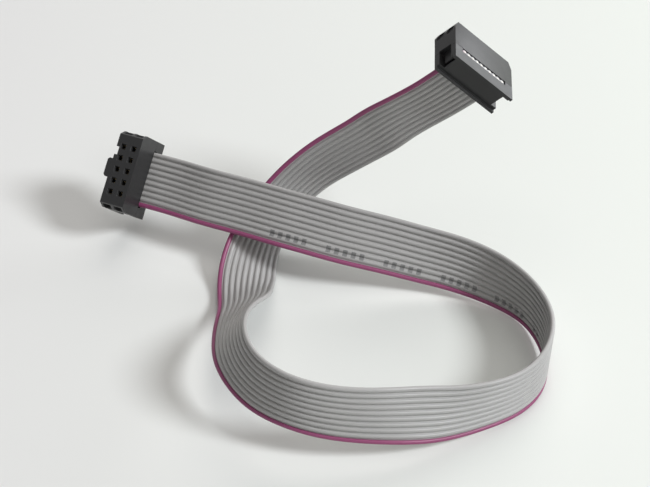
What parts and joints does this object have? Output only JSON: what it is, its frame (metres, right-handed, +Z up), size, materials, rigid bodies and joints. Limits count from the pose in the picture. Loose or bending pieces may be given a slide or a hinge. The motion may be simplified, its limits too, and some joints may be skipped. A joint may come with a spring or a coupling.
{
  "type": "ribbon cable with insulation displacement sockets",
  "caption": "Flat multi-wire ribbon cable lying in a loose loop, with a two-row square-pin socket clamped on each end and a coloured first wire.",
  "frame": {"origin": "centre of the bounding box at the level of the surface the cable lies on", "axes": "+Z is up from that surface, +X runs from the first socket towards the far bend, -Y faces the front of the loop"},
  "size_m": [0.0948, 0.0862, 0.0549],
  "materials": {
    "housing_plastic": "satin black moulded plastic",
    "cover_plastic": "satin black moulded plastic",
    "contact_metal": "plated spring bronze",
    "marked_wire": "semi-gloss soft vinyl, dark magenta",
    "plain_wire": "semi-gloss soft vinyl, grey"
  },
  "bodies": {
    "cable": {"housing_a": "housing_plastic", "housing_b": "housing_plastic", "contact_a01": "contact_metal", "contact_a02": "contact_metal", "contact_a03": "contact_metal", "contact_a04": "contact_metal", "contact_a05": "contact_metal", "contact_a06": "contact_metal", "contact_a07": "contact_metal", "contact_a08": "contact_metal", "contact_a09": "contact_metal", "contact_a10": "contact_metal", "contact_b01": "contact_metal", "contact_b02": "contact_metal", "contact_b03": "contact_metal", "contact_b04": "contact_metal", "contact_b05": "contact_metal", "contact_b06": "contact_metal", "contact_b07": "contact_metal", "contact_b08": "contact_metal", "contact_b09": "contact_metal", "contact_b10": "contact_metal", "wire_01": "marked_wire", "wire_02": "plain_wire", "wire_03": "plain_wire", "wire_04": "plain_wire", "wire_05": "plain_wire", "wire_06": "plain_wire", "wire_07": "plain_wire", "wire_08": "plain_wire", "wire_09": "plain_wire", "wire_10": "plain_wire"},
    "cover_a": {"cover_a": "cover_plastic"},
    "cover_b": {"cover_b": "cover_plastic"}
  },
  "joints": [
    {"name": "cover_a_slide", "type": "slide", "parent": "cable", "child": "cover_a", "axis": [0.34, 0.635, -0.6937], "range_m": [0, 0.0015]},
    {"name": "cover_b_slide", "type": "slide", "parent": "cable", "child": "cover_b", "axis": [-0.0387, -0.9794, -0.1983], "range_m": [0, 0.0015]}
  ]
}
